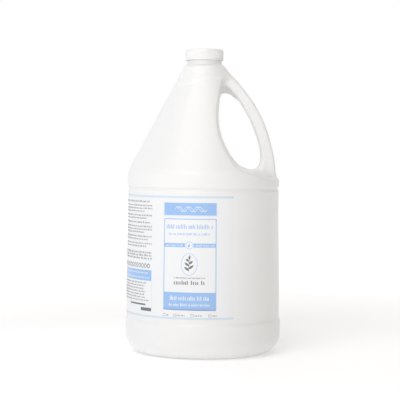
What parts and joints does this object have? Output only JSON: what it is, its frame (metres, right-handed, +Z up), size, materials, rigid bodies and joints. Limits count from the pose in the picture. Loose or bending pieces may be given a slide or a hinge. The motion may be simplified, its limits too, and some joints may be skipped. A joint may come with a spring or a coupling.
{
  "type": "one-gallon plastic jug with handle and screw cap",
  "caption": "Round white plastic jug with a conical shoulder, a hollow handle, a low screw cap with a liner, and a wrap-round film label.",
  "frame": {"origin": "middle of the footprint, on the surface the jug stands on", "axes": "+Z up along the neck, +X towards the handle, -Y is the front, with the label's main panel to its left"},
  "size_m": [0.1598, 0.1598, 0.3111],
  "materials": {
    "bottle_plastic": "satin",
    "cap_plastic": "satin",
    "liner_foam": "matte",
    "label_film": "satin"
  },
  "bodies": {
    "jug": {"bottle": "bottle_plastic", "label": "label_film"},
    "liner": {"cap_liner": "liner_foam"},
    "cap": {"screw_cap": "cap_plastic"}
  },
  "joints": [
    {"name": "cap_rise", "type": "slide", "parent": "jug", "child": "liner", "axis": [0, 0, 1], "range_m": [0, 0.0296]},
    {"name": "cap_turn", "type": "hinge", "parent": "liner", "child": "cap", "pos_m": [0, 0, 0.3], "axis": [0, 0, 1], "range_deg": [0, 2520]}
  ],
  "couplings": [
    {"joint": "cap_turn", "follows": "cap_rise", "rad_per_m": 1484.2}
  ]
}
